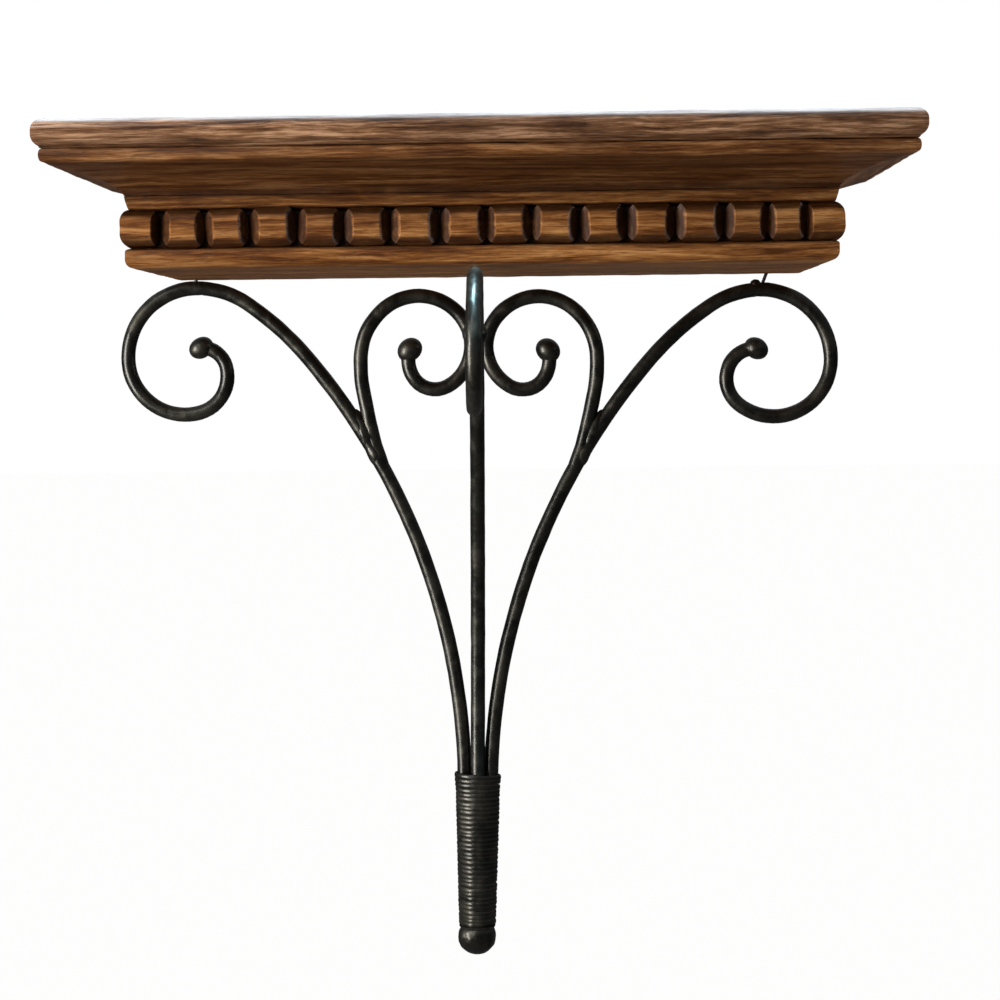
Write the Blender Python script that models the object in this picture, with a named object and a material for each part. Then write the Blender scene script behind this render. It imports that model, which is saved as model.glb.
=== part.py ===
"""Carved oak wall shelf on a scrolled wrought iron bracket. Metres, +Z up.

The wall is the plane Y = 0 and the shelf stands out from it along -Y. The origin is on the wall,
at the middle of the beaded block's back.
"""
import math

import bmesh
import bpy
from mathutils import Matrix, Vector

# Shelf
SHELF_WIDTH = 0.508
SHELF_DEPTH = 0.254
TOP_BOARD_HEIGHT = 0.0185
LIP_HEIGHT = 0.0073
CORNICE_HEIGHT = 0.0244
BLOCK_HEIGHT = 0.0420
OVERHANG = 0.0455
JOINT_GAP = 0.0003

# Beads carved along the block
BEADS_ON_FRONT = 16
BEAD_WIDTH = 0.0215
BEAD_HEIGHT = 0.0232
BEAD_PROUD = 0.0025
BEAD_MIDDLE_Z = 0.0020
BEAD_SQUARENESS = 3.2
BEAD_CUTS = 2

# Keyhole slots for hanging, cut in the block's back
KEYHOLE_X = 0.120
KEYHOLE_ENTRY_Z = -0.006
KEYHOLE_RISE = 0.012
KEYHOLE_MOUTH_RADIUS = 0.0055
KEYHOLE_NECK_WIDTH = 0.0052
KEYHOLE_LIP = 0.0030
KEYHOLE_DEPTH = 0.0100

# Ironwork: heights in its own frame, measured down from the block's underside
BAR_RADIUS = 0.00475
BAR_SIDES = 10
BAR_TURN_STEP = math.radians(9.5)
BAR_LONGEST_STEP = 0.028
BAR_PLANE_Y = -0.0085
IRON_OFFSET_X = -0.0064
IRON_LEAN = math.radians(0.8)
SIDE_BALL_RADIUS = 0.0077
INNER_BALL_RADIUS = 0.0081
BALL_STEP = math.radians(20)

# Foot, where the three long bars are bound side by side and the middle one is pushed forward
WRAP_TOP_Z = -0.3280
WRAP_BOTTOM_Z = -0.4297
FOOT_TOP_SPREAD = 0.0089
FOOT_BOTTOM_SPREAD = 0.0062
FOOT_TOP_FORWARD = 0.0047
FOOT_BOTTOM_FORWARD = 0.0079
WIRE_TURNS = 34
WIRE_THICKNESS = 0.0013
WRAP_WALL = 0.0004
WRAP_SIDES = 12
END_BALL_RADIUS = 0.0126
END_BALL_Z = -0.4371

# Bends of each bar as (radius, turn in degrees), in order from its lower end
SIDE_BENDS = ((0.440, 38.5), (0.205, 15.5), (0.062, 31.0), (0.046, 93.5))
LEFT_LOOP_BENDS = ((0.0375, 105.0), (0.025, 91.0), (0.0165, 76.0))
RIGHT_LOOP_BENDS = ((0.0374, 128.0), (0.0216, 73.5), (0.0187, 70.6))
SIDE_HEADING = math.radians(88.7)
FRONT_BENDS = ((0.415, 40.0), (0.203, 17.5), (0.063, 35.7), (0.0427, 92.8),
               (0.036, 105.7), (0.0245, 91.0), (0.0164, 77.0))
FRONT_HEADING = math.radians(91.9)
FRONT_SWING = math.radians(0.6)
FRONT_DROP = 0.0003
INNER_BENDS = ((0.600, 3.5), (0.105, 12.5), (0.043, 49.5), (0.0355, 95.0),
               (0.0305, 94.0), (0.017, 91.0), (0.0225, 45.0))
INNER_FOOT = (0.0685, -0.1113)
INNER_HEADING = math.radians(76.0)
INNER_TAPER_LENGTH = 0.012
INNER_TAPER_RADIUS = 0.0040

# Headless screws, slanted outwards, through the crests of the side scrolls
SCREW_X = 0.1850
SCREW_SLANT = math.radians(20)
SCREW_RADIUS = 0.0011
SCREW_BITE = 0.0170
CREST_CENTRE_Z = -0.0080
SCREW_SIDES = 12

# Lump of weld left on the right crest
LUMP_PLACE = (0.1818, -0.0045)
LUMP_SIZE = (0.0036, 0.0034, 0.0032)


def clear_scene():
    for item in list(bpy.data.objects):
        bpy.data.objects.remove(item, do_unlink=True)


def make_material(name, colour, roughness, metallic=0.0):
    material = bpy.data.materials.new(name)
    material.use_nodes = True
    shader = material.node_tree.nodes["Principled BSDF"]
    shader.inputs["Base Color"].default_value = (*colour, 1.0)
    shader.inputs["Roughness"].default_value = roughness
    shader.inputs["Metallic"].default_value = metallic
    return material


def add_object(name, bm, material, smooth_below=None, parent=None):
    """Make an object of a closed bmesh, with its faces turned outwards."""
    bmesh.ops.recalc_face_normals(bm, faces=bm.faces)
    mesh = bpy.data.meshes.new(name)
    bm.to_mesh(mesh)
    bm.free()
    mesh.materials.append(material)
    if smooth_below is not None:
        mesh.shade_smooth()
        mesh.set_sharp_from_angle(angle=math.radians(smooth_below))
    item = bpy.data.objects.new(name, mesh)
    bpy.context.scene.collection.objects.link(item)
    item.parent = parent
    return item


def hide_cutter(item):
    item.hide_render = True
    item.display_type = "WIRE"


def add_boolean(item, operation, other):
    modifier = item.modifiers.new(other.name, "BOOLEAN")
    modifier.operation = operation
    modifier.solver = "EXACT"
    modifier.object = other


def add_ring(bm, points):
    return [bm.verts.new(point) for point in points]


def join_rings(bm, low, high):
    count = len(low)
    for i in range(count):
        j = (i + 1) % count
        bm.faces.new((low[i], low[j], high[j], high[i]))


def arc(centre, radii, start, end, steps):
    """Points of an elliptical arc in the (inset, height) plane, angles in degrees."""
    points = []
    for i in range(steps + 1):
        angle = math.radians(start + (end - start) * i / steps)
        points.append((centre[0] + radii[0] * math.cos(angle), centre[1] + radii[1] * math.sin(angle)))
    return points


def soft_curve(start, corner, end, steps):
    """Points of a curve that leaves start towards corner and comes into end from corner."""
    points = []
    for i in range(steps + 1):
        t = i / steps
        points.append(tuple((1 - t) ** 2 * a + 2 * t * (1 - t) * b + t * t * c
                            for a, b, c in zip(start, corner, end)))
    return points


def make_board(name, profile, material):
    """Run a moulded edge round both ends and the front of a board with its back on the wall.

    The profile is a list of (inset from the shelf's outer edge, height), from the bottom up.
    """
    bm = bmesh.new()
    rings = []
    for inset, height in profile:
        side = SHELF_WIDTH / 2 - inset
        front = inset - SHELF_DEPTH
        rings.append(add_ring(bm, ((-side, 0, height), (-side, front, height),
                                   (side, front, height), (side, 0, height))))
    for low, high in zip(rings, rings[1:]):
        join_rings(bm, low, high)
    bm.faces.new(rings[0])
    bm.faces.new(rings[-1])
    return add_object(name, bm, material, smooth_below=28)


# Top board: bullnose with a wide upper arris, tapering in to the joint below it


def make_top_board(oak):
    bottom = BLOCK_HEIGHT / 2 + CORNICE_HEIGHT + 2 * JOINT_GAP
    top = bottom + TOP_BOARD_HEIGHT
    taper = 0.0040
    foot_round = 0.0012
    nose_low = bottom + 0.0070
    arris_drop = 0.0080
    arris_width = 0.0115
    profile = arc((taper + foot_round, bottom + foot_round), (foot_round, foot_round), 270, 180, 2)
    profile += soft_curve(profile[-1], (0.0004, nose_low - 0.0040), (0, nose_low), 4)[1:]
    profile += arc((arris_width, top - arris_drop), (arris_width, arris_drop), 180, 90, 8)
    return make_board("top_board", profile, oak)


# Cornice board: thin rounded lip over a cove that is flat at the lip and steep at the neck


def make_cornice_board(oak):
    bottom = BLOCK_HEIGHT / 2 + JOINT_GAP
    top = bottom + CORNICE_HEIGHT
    lip_inset = 0.0036
    lip_middle = top - LIP_HEIGHT / 2
    lip_round = 0.0016
    cove_top = (lip_inset + lip_round, top - LIP_HEIGHT)
    cove = soft_curve((OVERHANG, bottom), (OVERHANG - 0.0020, bottom + 0.0085), cove_top, 12)
    lip = arc((lip_inset + lip_round, lip_middle), (lip_round, LIP_HEIGHT / 2), 270, 90, 6)
    return make_board("cornice_board", cove + lip[1:], oak)


# Beaded block: base band, recess with its beads, neck band, and the slots and holes in it


def block_profile():
    bottom = -BLOCK_HEIGHT / 2
    top = BLOCK_HEIGHT / 2
    arris = 0.0050
    band_top = -0.0098
    recess = 0.0060
    profile = arc((OVERHANG + arris, bottom + arris), (arris, arris), 270, 180, 4)
    profile += [(OVERHANG, band_top - 0.0012), (OVERHANG + 0.0009, band_top)]
    profile += [(OVERHANG + recess, -0.0084), (OVERHANG + recess, 0.0118)]
    profile += [(OVERHANG + 0.0026, 0.0131), (OVERHANG + 0.0019, 0.0142)]
    profile += [(OVERHANG + 0.0004, top - 0.0020), (OVERHANG, top)]
    return profile


def bead_places():
    """Centres of the beads: along the front, corner to corner, then back along both ends."""
    inset = OVERHANG - BEAD_PROUD + BEAD_WIDTH / 2
    reach_x = SHELF_WIDTH / 2 - inset
    reach_y = SHELF_DEPTH - inset
    pitch = 2 * reach_x / (BEADS_ON_FRONT - 1)
    places = [(-reach_x + pitch * i, -reach_y) for i in range(BEADS_ON_FRONT)]
    rows = int((reach_y - BEAD_WIDTH / 2) / pitch)
    for row in range(1, rows + 1):
        for side in (-1, 1):
            places.append((side * reach_x, pitch * row - reach_y))
    return places


def make_bead_shape():
    """One bead, a cube rounded into a cushion, as a mesh to be copied."""
    bm = bmesh.new()
    bmesh.ops.create_cube(bm, size=2.0)
    bmesh.ops.subdivide_edges(bm, edges=bm.edges[:], cuts=BEAD_CUTS, use_grid_fill=True)
    size = Vector((BEAD_WIDTH / 2, BEAD_WIDTH / 2, BEAD_HEIGHT / 2))
    for point in bm.verts:
        power = sum(abs(value) ** BEAD_SQUARENESS for value in point.co)
        point.co = point.co * size / power ** (1 / BEAD_SQUARENESS)
    mesh = bpy.data.meshes.new("bead_shape")
    bm.to_mesh(mesh)
    bm.free()
    return mesh


def make_beads(material):
    """All the beads in one mesh, to be joined to the block."""
    shape = make_bead_shape()
    bm = bmesh.new()
    for x, y in bead_places():
        made = len(bm.verts)
        bm.from_mesh(shape)
        bm.verts.ensure_lookup_table()
        bmesh.ops.translate(bm, verts=bm.verts[made:], vec=(x, y, BEAD_MIDDLE_Z))
    beads = add_object("bead_shapes", bm, material)
    hide_cutter(beads)
    return beads


def stadium(bm, middle_x, low_z, high_z, radius, y_front, y_back, steps=8):
    """A round-ended slot, cut along Y."""
    outline = []
    for i in range(steps + 1):
        angle = math.pi * i / steps
        outline.append((middle_x + radius * math.cos(angle), high_z + radius * math.sin(angle)))
    for i in range(steps + 1):
        angle = math.pi * (1 + i / steps)
        outline.append((middle_x + radius * math.cos(angle), low_z + radius * math.sin(angle)))
    near = add_ring(bm, [(x, y_front, z) for x, z in outline])
    far = add_ring(bm, [(x, y_back, z) for x, z in outline])
    join_rings(bm, near, far)
    bm.faces.new(near)
    bm.faces.new(far)


def make_keyhole_cutters(material):
    """The round mouths, the narrow necks above them, and the wide runs behind both."""
    past_face = 0.002
    top_z = KEYHOLE_ENTRY_Z + KEYHOLE_RISE
    sliver = 0.0001
    shapes = (("keyhole_necks", KEYHOLE_ENTRY_Z, top_z, KEYHOLE_NECK_WIDTH / 2, past_face, -KEYHOLE_DEPTH),
              ("keyhole_mouths", KEYHOLE_ENTRY_Z - sliver, KEYHOLE_ENTRY_Z + sliver,
               KEYHOLE_MOUTH_RADIUS, past_face, -KEYHOLE_DEPTH),
              ("keyhole_runs", KEYHOLE_ENTRY_Z, top_z, KEYHOLE_MOUTH_RADIUS, -KEYHOLE_LIP, -KEYHOLE_DEPTH))
    cutters = []
    for name, low_z, high_z, radius, y_front, y_back in shapes:
        bm = bmesh.new()
        for side in (-1, 1):
            stadium(bm, side * KEYHOLE_X, low_z, high_z, radius, y_front, y_back)
        cutter = add_object(name, bm, material)
        hide_cutter(cutter)
        cutters.append(cutter)
    return cutters


def make_beaded_block(oak, screw_holes):
    block = make_board("beaded_block", block_profile(), oak)
    add_boolean(block, "UNION", make_beads(oak))
    for cutter in make_keyhole_cutters(oak):
        add_boolean(block, "DIFFERENCE", cutter)
    add_boolean(block, "DIFFERENCE", screw_holes)
    return block


# Ironwork: every bar is a chain of bends in one upright plane, drawn as (reach, height)


def centre_line(start, heading, bends, side):
    """Points along a bar. Side is 1 where it turns left and -1 where it turns right."""
    reach, height = start
    points = [(reach, height)]
    for radius, degrees in bends:
        turn = math.radians(degrees)
        steps = max(math.ceil(turn / BAR_TURN_STEP), math.ceil(radius * turn / BAR_LONGEST_STEP))
        half = turn / steps / 2
        chord = 2 * radius * math.sin(half)
        for _ in range(steps):
            heading += side * half
            reach += chord * math.cos(heading)
            height += chord * math.sin(heading)
            heading += side * half
            points.append((reach, height))
    return points


def add_bar(bm, line, radii, out, ball_radius=None):
    """Sweep a round bar along line in the plane of out and +Z, with a ball on its far end."""
    out = Vector(out)
    up = Vector((0, 0, 1))
    across = out.cross(up)
    places = [Vector((0, BAR_PLANE_Y, 0)) + out * reach + up * height for reach, height in line]
    sections = []
    if ball_radius:
        ball_centre = places[-1]
        seat = math.sqrt(ball_radius ** 2 - BAR_RADIUS ** 2)
        while (places[-1] - ball_centre).length < seat:
            places.pop()
        heading = (ball_centre - places[-1]).normalized()
        places.append(ball_centre - heading * seat)
    for i, place in enumerate(places):
        before = places[max(i - 1, 0)]
        after = places[min(i + 1, len(places) - 1)]
        sections.append((place, (after - before).normalized(), radii(i)))
    if ball_radius:
        angle = math.asin(BAR_RADIUS / ball_radius) + BALL_STEP
        while angle < math.pi - BALL_STEP / 2:
            place = ball_centre - heading * ball_radius * math.cos(angle)
            sections.append((place, heading, ball_radius * math.sin(angle)))
            angle += BALL_STEP
    rings = []
    for place, along, radius in sections:
        sideways = along.cross(across)
        ring = []
        for i in range(BAR_SIDES):
            angle = 2 * math.pi * (i + 0.5) / BAR_SIDES
            ring.append(place + radius * (math.cos(angle) * sideways + math.sin(angle) * across))
        rings.append(add_ring(bm, ring))
    for low, high in zip(rings, rings[1:]):
        join_rings(bm, low, high)
    bm.faces.new(rings[0])
    if ball_radius:
        pole = bm.verts.new(ball_centre + heading * ball_radius)
        for i in range(BAR_SIDES):
            bm.faces.new((rings[-1][i], rings[-1][(i + 1) % BAR_SIDES], pole))
    else:
        bm.faces.new(rings[-1])


def full_radius(_):
    return BAR_RADIUS


def side_line(loop_bends=()):
    foot = [(FOOT_BOTTOM_SPREAD, WRAP_BOTTOM_Z)]
    return foot + centre_line((FOOT_TOP_SPREAD, WRAP_TOP_Z), SIDE_HEADING, SIDE_BENDS + loop_bends, -1)


def front_line():
    """The front bar's line, set so that its crest just clears the block's underside."""
    foot = [(FOOT_BOTTOM_FORWARD, WRAP_BOTTOM_Z)]
    rise = centre_line((FOOT_TOP_FORWARD, WRAP_TOP_Z), FRONT_HEADING, FRONT_BENDS, -1)
    crest = max(height for _, height in rise)
    shift = -FRONT_DROP - BAR_RADIUS - crest
    return foot + [rise[0]] + [(reach, height + shift) for reach, height in rise[1:]]


def make_outer_scroll(name, side, loop_bends, iron, hanger):
    bm = bmesh.new()
    add_bar(bm, side_line(loop_bends), full_radius, (side, 0, 0), SIDE_BALL_RADIUS)
    return add_object(name, bm, iron, smooth_below=40, parent=hanger)


def make_weld_lump(iron, hanger):
    """The lump on the right crest, to be joined to its scroll."""
    bm = bmesh.new()
    bmesh.ops.create_icosphere(bm, subdivisions=1, radius=1.0)
    bmesh.ops.scale(bm, verts=bm.verts, vec=LUMP_SIZE)
    bmesh.ops.translate(bm, verts=bm.verts, vec=(LUMP_PLACE[0], BAR_PLANE_Y, LUMP_PLACE[1]))
    lump = add_object("weld_lump", bm, iron, parent=hanger)
    hide_cutter(lump)
    return lump


def make_front_scroll(iron, hanger):
    out = (math.sin(FRONT_SWING), -math.cos(FRONT_SWING), 0)
    bm = bmesh.new()
    add_bar(bm, front_line(), full_radius, out, SIDE_BALL_RADIUS)
    return add_object("front_scroll", bm, iron, smooth_below=40, parent=hanger)


def make_inner_scroll(name, side, iron, hanger):
    """The inner scroll, coped over the outer bar that it is welded to."""
    line = centre_line(INNER_FOOT, INNER_HEADING, INNER_BENDS, 1)

    def tapered(i):
        reach, height = line[min(i, len(line) - 1)]
        run = math.hypot(reach - INNER_FOOT[0], height - INNER_FOOT[1])
        share = min(1.0, run / INNER_TAPER_LENGTH)
        return INNER_TAPER_RADIUS + (BAR_RADIUS - INNER_TAPER_RADIUS) * share

    bm = bmesh.new()
    add_bar(bm, line, tapered, (side, 0, 0), INNER_BALL_RADIUS)
    scroll = add_object(name, bm, iron, smooth_below=40, parent=hanger)
    weld = [point for point in side_line() if -0.19 < point[1] < -0.05 and point[0] < 0.12]
    bm = bmesh.new()
    add_bar(bm, weld, lambda _: BAR_RADIUS + JOINT_GAP, (side, 0, 0))
    cope = add_object(name + "_cope", bm, iron, parent=hanger)
    hide_cutter(cope)
    add_boolean(scroll, "DIFFERENCE", cope)
    return scroll


# Foot: the wire winding round the three bars, and the ball under it


def foot_section(share, grow):
    """Flat-sided outline round the three bars, at a share of the way down the winding.

    Each corner is where two neighbouring sides meet, and each side lies grow off the bars.
    """
    spread = FOOT_TOP_SPREAD + (FOOT_BOTTOM_SPREAD - FOOT_TOP_SPREAD) * share
    forward = FOOT_TOP_FORWARD + (FOOT_BOTTOM_FORWARD - FOOT_TOP_FORWARD) * share
    height = WRAP_TOP_Z + (WRAP_BOTTOM_Z - WRAP_TOP_Z) * share
    bars = ((-spread, BAR_PLANE_Y), (spread, BAR_PLANE_Y), (0, BAR_PLANE_Y - forward))
    turn = 2 * math.pi / WRAP_SIDES
    outline = []
    for i in range(WRAP_SIDES):
        reaches = []
        for angle in (turn * i, turn * (i + 1)):
            furthest = max(x * math.cos(angle) + y * math.sin(angle) for x, y in bars)
            reaches.append(furthest + BAR_RADIUS + grow)
        low, high = reaches
        middle = turn * (i + 0.5)
        along = (low + high) / (2 * math.cos(turn / 2))
        across = (high - low) / (2 * math.sin(turn / 2))
        outline.append((along * math.cos(middle) - across * math.sin(middle),
                        along * math.sin(middle) + across * math.cos(middle), height))
    return outline


def make_wire_wrap(iron, hanger):
    """A sleeve with one ridge for each turn of wire, open where the bars run through it."""
    bm = bmesh.new()
    outer = []
    for i in range(2 * WIRE_TURNS + 1):
        grow = WIRE_THICKNESS if i % 2 else JOINT_GAP + WRAP_WALL
        outer.append(add_ring(bm, foot_section(i / (2 * WIRE_TURNS), grow)))
    bore_grow = JOINT_GAP
    inner = [add_ring(bm, foot_section(share, bore_grow)) for share in (0, 1)]
    for low, high in zip(outer, outer[1:]):
        join_rings(bm, low, high)
    join_rings(bm, inner[1], inner[0])
    join_rings(bm, outer[-1], inner[1])
    join_rings(bm, inner[0], outer[0])
    return add_object("wire_wrap", bm, iron, smooth_below=20, parent=hanger)


def make_end_ball(iron, hanger):
    """The ball under the foot, flat on top where the bars are welded to it."""
    middle_y = -END_BALL_RADIUS - 0.0004
    flat_z = WRAP_BOTTOM_Z - JOINT_GAP
    start = math.acos((flat_z - END_BALL_Z) / END_BALL_RADIUS)
    rows = 8
    sides = 18
    bm = bmesh.new()
    rings = []
    for row in range(rows):
        angle = start + (math.pi - start) * row / rows
        radius = END_BALL_RADIUS * math.sin(angle)
        height = END_BALL_Z + END_BALL_RADIUS * math.cos(angle)
        rings.append(add_ring(bm, [(radius * math.cos(2 * math.pi * i / sides),
                                    middle_y + radius * math.sin(2 * math.pi * i / sides), height)
                                   for i in range(sides)]))
    for low, high in zip(rings, rings[1:]):
        join_rings(bm, low, high)
    bm.faces.new(rings[0])
    pole = bm.verts.new((0, middle_y, END_BALL_Z - END_BALL_RADIUS))
    for i in range(sides):
        bm.faces.new((rings[-1][i], rings[-1][(i + 1) % sides], pole))
    return add_object("end_ball", bm, iron, smooth_below=50, parent=hanger)


# Screws, driven up through the crests of the side scrolls into the block


def add_pin(bm, side, sections):
    """A turned pin of (radius, distance up from the crest's middle) sections, at the screw's slant."""
    crest = Vector((side * SCREW_X, BAR_PLANE_Y, CREST_CENTRE_Z))
    slant = Matrix.Rotation(side * SCREW_SLANT, 3, "Y")
    rings = []
    for radius, rise in sections:
        ring = []
        for i in range(SCREW_SIDES):
            angle = 2 * math.pi * i / SCREW_SIDES
            ring.append(crest + slant @ Vector((radius * math.cos(angle), radius * math.sin(angle), rise)))
        rings.append(add_ring(bm, ring))
    for low, high in zip(rings, rings[1:]):
        join_rings(bm, low, high)
    bm.faces.new(rings[0])
    bm.faces.new(rings[-1])


def make_screw_holes(material, hanger):
    """The clearance round both screws, cut from the side scrolls and from the block."""
    below_bar = -0.012
    radius = SCREW_RADIUS + JOINT_GAP
    bm = bmesh.new()
    for side in (-1, 1):
        add_pin(bm, side, ((radius, below_bar), (radius, SCREW_BITE + JOINT_GAP)))
    holes = add_object("screw_holes", bm, material, parent=hanger)
    hide_cutter(holes)
    return holes


def make_fixing_screw(name, side, steel, hanger):
    flush = -BAR_RADIUS + 0.0002
    tip = 0.0020
    bm = bmesh.new()
    add_pin(bm, side, ((SCREW_RADIUS * 0.8, flush), (SCREW_RADIUS, flush + 0.0004),
                       (SCREW_RADIUS, SCREW_BITE - tip), (SCREW_RADIUS * 0.3, SCREW_BITE)))
    return add_object(name, bm, steel, smooth_below=40, parent=hanger)


def main():
    clear_scene()
    oak = make_material("oak", (0.22, 0.10, 0.045), 0.45)
    iron = make_material("black_iron", (0.035, 0.032, 0.030), 0.38, metallic=0.8)
    steel = make_material("dull_steel", (0.10, 0.095, 0.09), 0.45, metallic=1.0)
    hanger = bpy.data.objects.new("ironwork_hanger", None)
    bpy.context.scene.collection.objects.link(hanger)
    hanger.matrix_world = (Matrix.Translation((IRON_OFFSET_X, 0, -BLOCK_HEIGHT / 2))
                           @ Matrix.Rotation(IRON_LEAN, 4, "Y"))
    screw_holes = make_screw_holes(steel, hanger)
    make_top_board(oak)
    make_cornice_board(oak)
    make_beaded_block(oak, screw_holes)
    left_scroll = make_outer_scroll("outer_scroll_left", -1, LEFT_LOOP_BENDS, iron, hanger)
    right_scroll = make_outer_scroll("outer_scroll_right", 1, RIGHT_LOOP_BENDS, iron, hanger)
    add_boolean(right_scroll, "UNION", make_weld_lump(iron, hanger))
    for scroll in (left_scroll, right_scroll):
        add_boolean(scroll, "DIFFERENCE", screw_holes)
    make_inner_scroll("inner_scroll_left", -1, iron, hanger)
    make_inner_scroll("inner_scroll_right", 1, iron, hanger)
    make_front_scroll(iron, hanger)
    make_wire_wrap(iron, hanger)
    make_end_ball(iron, hanger)
    make_fixing_screw("fixing_screw_left", -1, steel, hanger)
    make_fixing_screw("fixing_screw_right", 1, steel, hanger)


main()
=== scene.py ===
"""Carved oak wall shelf on a scrolled wrought iron bracket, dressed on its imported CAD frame.

Metres, +Z up. The wall is the plane Y = 0 and the shelf stands out from it along -Y.
"""
import math
import random

import bpy
from mathutils import Matrix, Vector


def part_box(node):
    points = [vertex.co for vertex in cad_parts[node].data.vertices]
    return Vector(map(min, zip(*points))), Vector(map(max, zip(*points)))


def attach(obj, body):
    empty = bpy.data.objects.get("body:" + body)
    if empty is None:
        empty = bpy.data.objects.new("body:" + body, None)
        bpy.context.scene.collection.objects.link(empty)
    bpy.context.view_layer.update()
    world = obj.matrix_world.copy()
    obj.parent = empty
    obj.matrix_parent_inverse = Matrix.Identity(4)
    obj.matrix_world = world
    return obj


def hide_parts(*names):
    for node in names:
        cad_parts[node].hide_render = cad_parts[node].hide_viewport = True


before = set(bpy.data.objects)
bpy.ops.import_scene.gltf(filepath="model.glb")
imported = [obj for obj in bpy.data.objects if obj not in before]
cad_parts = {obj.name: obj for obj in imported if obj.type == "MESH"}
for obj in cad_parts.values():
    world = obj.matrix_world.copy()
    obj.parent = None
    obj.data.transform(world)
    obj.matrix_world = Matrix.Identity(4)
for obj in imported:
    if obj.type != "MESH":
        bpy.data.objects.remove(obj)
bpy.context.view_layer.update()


# Top board. A slab of oak, worked along the front and both ends to a fat nose under a broad rounded
# arris, with a pale sheen painted along it for the sky's reflection. It is planed and scraped by hand,
# stained, waxed, and glued on the cornice.
def start_piece(name, add_primitive, **settings):
    """Add a primitive with its place in its mesh, and go into edit mode with all of it selected."""
    bpy.ops.object.select_all(action="DESELECT")
    add_primitive(**settings)
    piece = bpy.context.object
    piece.name = piece.data.name = name
    bpy.ops.object.transform_apply(location=True, rotation=True, scale=True)
    bpy.ops.object.mode_set(mode="EDIT")
    bpy.ops.mesh.select_all(action="SELECT")
    return piece


def pick_edges(piece, wanted):
    """Select just the edges whose two ends pass the wanted test, in edit mode."""
    bpy.ops.mesh.select_all(action="DESELECT")
    bpy.ops.mesh.select_mode(type="EDGE")
    bpy.ops.object.mode_set(mode="OBJECT")
    points = piece.data.vertices
    for edge in piece.data.edges:
        edge.select = bool(wanted(points[edge.vertices[0]].co, points[edge.vertices[1]].co))
    bpy.ops.object.mode_set(mode="EDIT")


def apply_modifier(piece, kind, **settings):
    """Give a piece one modifier and apply it."""
    bpy.ops.object.mode_set(mode="OBJECT")
    bpy.ops.object.select_all(action="DESELECT")
    piece.select_set(True)
    bpy.context.view_layer.objects.active = piece
    modifier = piece.modifiers.new(kind.title(), kind)
    for key, value in settings.items():
        setattr(modifier, key, value)
    bpy.ops.object.modifier_apply(modifier=modifier.name)


def roughen(piece, name, grain_size, depth):
    """Move the surface in and out a little, as a hand tool leaves it."""
    cloud = bpy.data.textures.new(name, "CLOUDS")
    cloud.noise_scale = grain_size
    cloud.noise_depth = 2
    apply_modifier(piece, "DISPLACE", texture=cloud, strength=depth, mid_level=0.5)


def finish_piece(piece, material, smooth_below):
    """Turn the faces outwards, shade them, and give them their one material."""
    bpy.ops.object.mode_set(mode="OBJECT")
    bpy.ops.object.select_all(action="DESELECT")
    piece.select_set(True)
    bpy.context.view_layer.objects.active = piece
    bpy.ops.object.mode_set(mode="EDIT")
    bpy.ops.mesh.select_all(action="SELECT")
    bpy.ops.mesh.normals_make_consistent(inside=False)
    bpy.ops.object.mode_set(mode="OBJECT")
    bpy.ops.object.shade_smooth_by_angle(angle=math.radians(smooth_below))
    piece.data.materials.clear()
    piece.data.materials.append(material)


def mould_board(name, profile, step):
    """Work a profile of (inset from the shelf's edge, height) round the front and both ends.

    The board is made double, with a copy of its front behind the wall, to be sawn off there afterwards.
    """
    inset, height = profile[0]
    board = start_piece(name, bpy.ops.mesh.primitive_plane_add, size=1, location=(0, 0, height))
    width = shelf_width - 2 * inset
    depth = 2 * (shelf_depth - inset)
    bpy.ops.transform.resize(value=(width, depth, 1), center_override=(0, 0, height))
    for next_inset, next_height in profile[1:]:
        rise = next_height - height
        bpy.ops.mesh.extrude_region_move(TRANSFORM_OT_translate={"value": (0, 0, rise)})
        next_width = shelf_width - 2 * next_inset
        next_depth = 2 * (shelf_depth - next_inset)
        bpy.ops.transform.resize(value=(next_width / width, next_depth / depth, 1),
                                 center_override=(0, 0, next_height))
        width, depth, height = next_width, next_depth, next_height
    pick_edges(board, lambda a, b: abs(a.x - b.x) > 0.3)
    bpy.ops.mesh.subdivide(number_cuts=round(shelf_width / step))
    pick_edges(board, lambda a, b: abs(a.y - b.y) > 0.3)
    bpy.ops.mesh.subdivide(number_cuts=round(2 * shelf_depth / step))
    return board


def saw_off_at_wall(piece):
    """Cut away the half of a double board that lies behind the wall, and close the back."""
    bpy.context.view_layer.objects.active = piece
    bpy.ops.object.mode_set(mode="EDIT")
    bpy.ops.mesh.select_all(action="SELECT")
    bpy.ops.mesh.bisect(plane_co=(0, 0, 0), plane_no=(0, 1, 0), use_fill=True, clear_outer=True)
    bpy.ops.object.mode_set(mode="OBJECT")


def arc(middle, radii, start, end, steps):
    """Points of an arc of an ellipse in the plane of inset and height, angles in degrees."""
    points = []
    for i in range(steps + 1):
        turn = math.radians(start + (end - start) * i / steps)
        points.append((middle[0] + radii[0] * math.cos(turn), middle[1] + radii[1] * math.sin(turn)))
    return points


def sweep(start, corner, end, steps):
    """Points of a curve that leaves start towards corner and comes into end from corner."""
    points = []
    for i in range(steps + 1):
        t = i / steps
        points.append(tuple((1 - t) ** 2 * a + 2 * t * (1 - t) * b + t * t * c
                            for a, b, c in zip(start, corner, end)))
    return points


def add_node(tree, kind, **values):
    """Add a shader node. Values name its properties, or its inputs where it has such an input."""
    node = tree.nodes.new(kind)
    for key, value in values.items():
        name = key.replace("_", " ").title()
        if name in node.inputs and not hasattr(node, key):
            node.inputs[name].default_value = value
        else:
            setattr(node, key, value)
    return node


def join(tree, source, output, target, entry):
    """Link a node's output to another node's input, each by its name or number."""
    tree.links.new(source.outputs[output], target.inputs[entry])


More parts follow.
